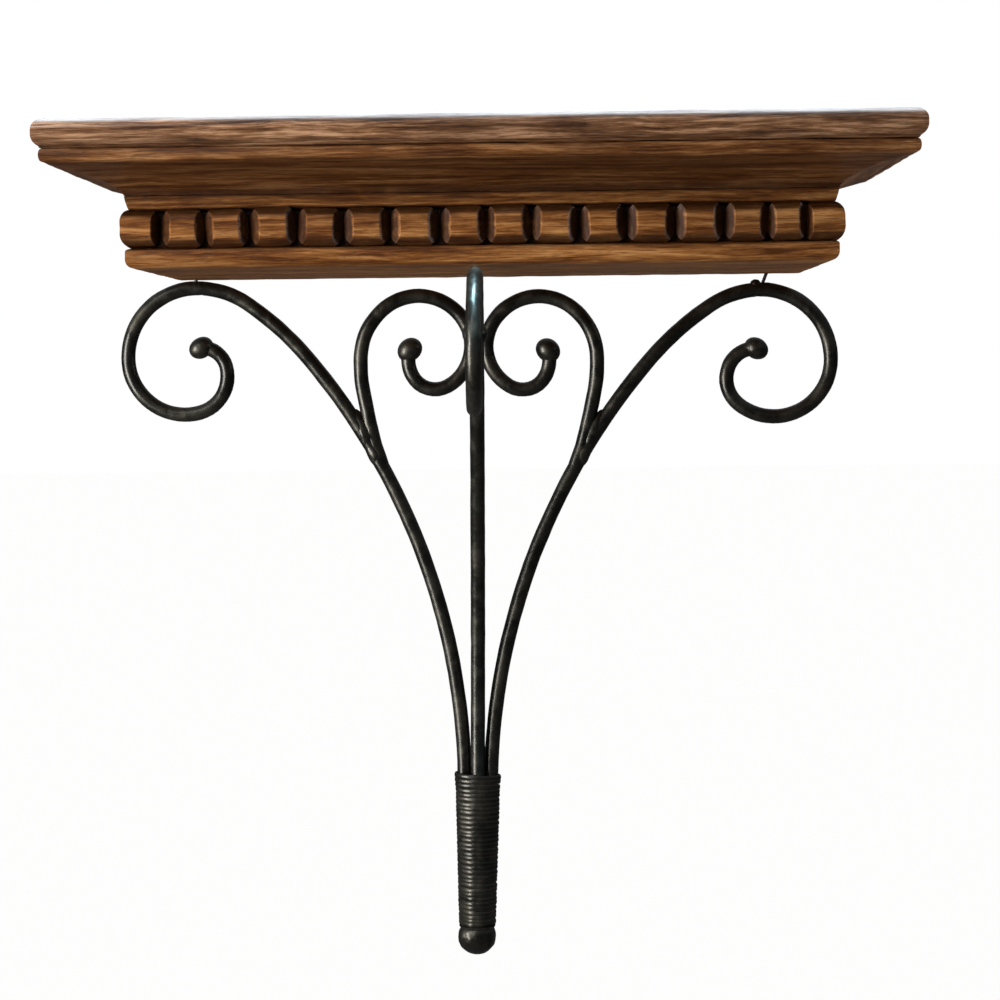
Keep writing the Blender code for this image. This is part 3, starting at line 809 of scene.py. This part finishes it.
# Winding. Soft iron wire beaten a little flat, wound tight round the three bars where they come
# together, with no two turns quite the same thickness. Its ends are tucked in behind.
wire_turns = 34
wire_steps = 44
wire_height = 0.0038
wire_thickness = 0.0020
wire_corners = 10
wire_nestle = 0.30
wire_swell = (0.80, 1.08)
wire_stray = 0.0005
wire_sway = 0.0003
sway_rate = 1.37
wire_tucked = 0.45
top_swell = 0.0005
top_turns = 4
corner_sharpness = 900
packing = 0.85


def round_bars(turn, drop, out):
    """A point on the wire's way round the three bars, at a height, out from their skins.

    The wire follows the bars where they push it out and an oval between them, where it is packed.
    """
    share = drop / (wrap_top - wrap_bottom)
    spread = foot_top_spread + (foot_bottom_spread - foot_top_spread) * share
    forward = foot_top_forward + (foot_bottom_forward - foot_top_forward) * share
    normal = Vector((math.cos(turn), math.sin(turn), 0))
    bars = [Vector((x, bar_plane + y, 0)) for x, y in ((-spread, 0), (spread, 0), (0, -forward))]
    pulls = [math.exp(bar.dot(normal) * corner_sharpness) for bar in bars]
    held = sum((bar * pull for bar, pull in zip(bars, pulls)), Vector()) / sum(pulls)
    taut = held + normal * (iron_bar + out)
    oval = Vector((math.cos(turn) * (spread + iron_bar + out),
                   bar_plane - forward / 2 + math.sin(turn) * (forward / 2 + iron_bar + out), 0))
    packed = max(0.0, (oval - taut).dot(normal)) * packing * abs(normal.y)
    return taut + normal * packed + Vector((0, 0, wrap_top - drop)), normal


def wind_wire():
    """Sweep the wire's flattened section down the winding, each turn thicker or thinner than the
    last and a little off its even pitch.
    """
    rng = random.Random(12)
    pitch = (wrap_top - wrap_bottom) / wire_turns
    points, faces = [], []
    thick = [rng.uniform(*wire_swell) for _ in range(wire_turns + 2)]
    stray = [rng.uniform(-wire_stray, wire_stray) for _ in range(wire_turns + 2)]
    count = wire_turns * wire_steps
    for i in range(count + 1):
        whole, part = divmod(i, wire_steps)
        part /= wire_steps
        swell = thick[whole] * (1 - part) + thick[whole + 1] * part
        wander = stray[whole] * (1 - part) + stray[whole + 1] * part
        turn = math.pi / 2 + 2 * math.pi * i / wire_steps
        drop = pitch * min(0.5 + i / wire_steps, wire_turns - wire_tucked) + wander
        drop += wire_sway * math.sin(sway_rate * turn)
        step_out = top_swell * max(0.0, 1 - i / (top_turns * wire_steps))
        middle, normal = round_bars(turn, drop, step_out + wire_thickness * wire_nestle)
        for corner in range(wire_corners):
            angle = 2 * math.pi * corner / wire_corners
            across = math.cos(angle) * wire_thickness / 2 * swell
            down = math.sin(angle) * wire_height / 2 * (0.5 + swell / 2)
            points.append(middle + normal * across + Vector((0, 0, down)))
    for i in range(count):
        for corner in range(wire_corners):
            after = (corner + 1) % wire_corners
            low, high = i * wire_corners, (i + 1) * wire_corners
            faces.append((low + corner, low + after, high + after, high + corner))
    faces.append(tuple(range(wire_corners)))
    faces.append(tuple(count * wire_corners + corner for corner in range(wire_corners)))
    mesh = bpy.data.meshes.new("wire_wrap_iron")
    mesh.from_pydata(points, [], faces)
    wire = bpy.data.objects.new("wire_wrap_iron", mesh)
    bpy.context.scene.collection.objects.link(wire)
    wire.data.transform(iron_frame)
    return wire


winding = wind_wire()
roughen(winding, "beaten_wire", grain_size=0.005, depth=0.0003)
finish_piece(winding, black_iron, smooth_below=50)
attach(winding, "root")
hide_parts("wire_wrap")


# End ball. A ball forged by eye and welded under the three bars, with a narrow collar of weld above
# it and the flats of the hammer all over it.
ball_radius = 0.0126
ball_middle = (0, -0.0130, -0.4371)
collar_reach = 0.0020
collar_height = 0.0018
collar_flare = 1.08
end_ball = start_piece("end_ball_iron", bpy.ops.mesh.primitive_ico_sphere_add, subdivisions=5,
                       radius=ball_radius, location=ball_middle)
bpy.ops.mesh.bisect(plane_co=(0, 0, wrap_bottom - collar_reach), plane_no=(0, 0, 1), use_fill=True,
                    clear_outer=True)
bpy.ops.mesh.extrude_region_move(TRANSFORM_OT_translate={"value": (0, 0, collar_height)})
bpy.ops.transform.resize(value=(collar_flare, collar_flare, 1), center_override=ball_middle)
roughen(end_ball, "hammered_ball", grain_size=0.0090, depth=0.0018)
end_ball.data.transform(iron_frame)
finish_piece(end_ball, black_iron, smooth_below=40)
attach(end_ball, "root")
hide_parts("end_ball")


# Fixing screws. Thin headless screws, driven up at a slant through holes in the crests of the side
# scrolls into the block. On the right the iron has dropped away and the bare shank shows.
screw_reach = 0.1850
screw_slant = math.radians(20)
screw_shank = 0.0011
screw_bite = 0.0170
screw_flush = 0.0002 - iron_bar
screw_chamfer = 0.0004
screw_point = 0.0020
crest_middle = -0.0080
hole_slack = 0.0003
hole_start = -0.0120


def turn_pin(name, side, sections):
    """Turn a round pin of (radius, distance up from the crest's middle) sections, at the slant."""
    width, height = sections[0]
    pin = start_piece(name, bpy.ops.mesh.primitive_circle_add, vertices=20, radius=width,
                      fill_type="NGON", location=(0, 0, height))
    for next_width, next_height in sections[1:]:
        bpy.ops.mesh.extrude_region_move(TRANSFORM_OT_translate={"value": (0, 0, next_height - height)})
        grow = next_width / width
        bpy.ops.transform.resize(value=(grow, grow, 1), center_override=(0, 0, next_height))
        width, height = next_width, next_height
    bpy.ops.mesh.select_all(action="SELECT")
    bpy.ops.mesh.normals_make_consistent(inside=False)
    bpy.ops.object.mode_set(mode="OBJECT")
    pin.data.transform(iron_frame @ Matrix.Translation((side * screw_reach, bar_plane, crest_middle))
                       @ Matrix.Rotation(side * screw_slant, 4, "Y"))
    return pin


steel, tree, shader, place = start_material("steel_dull", metallic=1.0)
worn = noise(tree, place, 900.0)
dull_or_bright = ramp(tree, worn, (0.35, (0.05, 0.047, 0.045)), (0.65, (0.16, 0.15, 0.145)))
tree.links.new(dull_or_bright, shader.inputs["Base Color"])
tree.links.new(fade(tree, worn, 0.3, 0.7, 0.32, 0.50), shader.inputs["Roughness"])
bump(tree, shader, worn, distance=0.0002, strength=0.5)
for side, word in ((-1, "left"), (1, "right")):
    drill = turn_pin("drill", side, ((screw_shank + hole_slack, hole_start),
                                     (screw_shank + hole_slack, screw_bite + hole_slack)))
    for drilled in (beaded_block, bpy.data.objects["outer_scroll_" + word + "_iron"]):
        apply_modifier(drilled, "BOOLEAN", operation="DIFFERENCE", object=drill, solver="EXACT")
    bpy.data.objects.remove(drill)
    screw = turn_pin("fixing_screw_" + word + "_steel", side,
                     ((screw_shank * 0.8, screw_flush), (screw_shank, screw_flush + screw_chamfer),
                      (screw_shank, screw_bite - screw_point), (screw_shank * 0.3, screw_bite)))
    finish_piece(screw, steel, smooth_below=35)
    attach(screw, "root")
    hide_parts("fixing_screw_" + word)


# Studio. A pale floor and surround, white to the camera and dim to the object. A low window on the
# left lights it, with a faint skylight in front, the sky over the top board, a fill from the right
# on the wood, and a cool glint from above on the front scroll.
floor_height = -1.25
floor_size = 60
bpy.ops.object.select_all(action="DESELECT")
bpy.ops.mesh.primitive_plane_add(size=floor_size, location=(0, 0, floor_height))
floor = bpy.context.object
floor.name = "studio_floor"
floor_material, tree, shader, place = start_material("studio_floor_pale", roughness=0.9)
shader.inputs["Base Color"].default_value = (0.22, 0.21, 0.20, 1)
glow = add_node(tree, "ShaderNodeEmission")
glow.inputs["Color"].default_value = (0.985, 0.985, 0.98, 1)
seen = add_node(tree, "ShaderNodeMixShader")
join(tree, add_node(tree, "ShaderNodeLightPath"), "Is Camera Ray", seen, 0)
join(tree, shader, 0, seen, 1)
join(tree, glow, 0, seen, 2)
join(tree, seen, 0, tree.nodes["Material Output"], "Surface")
floor.data.materials.append(floor_material)


def add_light(name, place, target, size, power, colour, lit=None, shading=None):
    """An area light. Lit holds the only pieces it reaches and shading those that block it."""
    bpy.ops.object.light_add(type="AREA", location=place)
    light = bpy.context.object
    light.name = name
    light.data.shape = "RECTANGLE"
    light.data.size, light.data.size_y = size
    light.data.energy = power
    light.data.color = colour
    light.rotation_euler = (Vector(target) - Vector(place)).to_track_quat("-Z", "Y").to_euler()
    for purpose, pieces in (("receiver_collection", lit), ("blocker_collection", shading)):
        if pieces:
            linked = bpy.data.collections.new(name + "_" + purpose)
            setattr(light.light_linking, purpose, linked)
            for piece in pieces:
                linked.objects.link(piece)


boards = [top_board, cornice_board, beaded_block]
add_light("window_left", place=(-1.2, -0.85, -0.20), target=(0, -0.15, -0.05), size=(0.5, 0.9),
          power=27, colour=(1.0, 0.97, 0.93))
add_light("skylight_front", place=(-0.7, -1.4, 0.9), target=(0, -0.15, 0), size=(0.5, 0.5),
          power=4, colour=(0.94, 0.97, 1.0))
add_light("sky_above", place=(0.0, 0.5, 1.3), target=(0, -0.2, 0.06), size=(4.0, 3.2),
          power=80, colour=(0.84, 0.92, 1.0), lit=[top_board])
add_light("room_right", place=(1.3, -0.1, -0.2), target=(0.2, -0.12, 0.03), size=(0.6, 0.6),
          power=20, colour=(0.9, 0.95, 1.0), lit=boards)
add_light("glint_above", place=(-0.05, -0.35, 1.3), target=(0, -0.22, -0.05), size=(0.30, 0.5),
          power=110, colour=(0.50, 0.82, 1.0), lit=[front], shading=[front])

world = bpy.data.worlds.new("studio_world")
bpy.context.scene.world = world
world.use_nodes = True
tree = world.node_tree
room = tree.nodes["Background"]
towards = add_node(tree, "ShaderNodeSeparateXYZ")
join(tree, add_node(tree, "ShaderNodeTexCoord"), "Generated", towards, 0)
sky_share = fade(tree, towards.outputs[2], -0.2, 0.9)
room_colour = ramp(tree, sky_share, (0.0, (0.013, 0.013, 0.012)), (1.0, (0.30, 0.31, 0.33)))
tree.links.new(room_colour, room.inputs["Color"])
surround = add_node(tree, "ShaderNodeBackground")
surround.inputs["Color"].default_value = (1, 1, 1, 1)
seen = add_node(tree, "ShaderNodeMixShader")
join(tree, add_node(tree, "ShaderNodeLightPath"), "Is Camera Ray", seen, 0)
join(tree, room, 0, seen, 1)
join(tree, surround, 0, seen, 2)
join(tree, seen, 0, tree.nodes["World Output"], "Surface")

camera_place = (0.03577, -1.75482, -0.08353)
camera_data = bpy.data.cameras.new("photo_camera")
camera = bpy.data.objects.new("photo_camera", camera_data)
bpy.context.scene.collection.objects.link(camera)
camera_data.lens = 95.2
camera_data.sensor_width = 36
yaw, pitch, roll = (math.radians(angle) for angle in (-0.985, -2.784, 0.645))
forward = Vector((math.sin(yaw) * math.cos(pitch), math.cos(yaw) * math.cos(pitch), math.sin(pitch)))
level_right = Vector((math.cos(yaw), -math.sin(yaw), 0))
level_up = level_right.cross(forward)
right = math.cos(roll) * level_right - math.sin(roll) * level_up
up = math.sin(roll) * level_right + math.cos(roll) * level_up
camera.matrix_world = (Matrix.Translation(camera_place)
                       @ Matrix((right, up, -forward)).transposed().to_4x4())
bpy.context.scene.camera = camera
bpy.context.scene.view_settings.view_transform = "Standard"
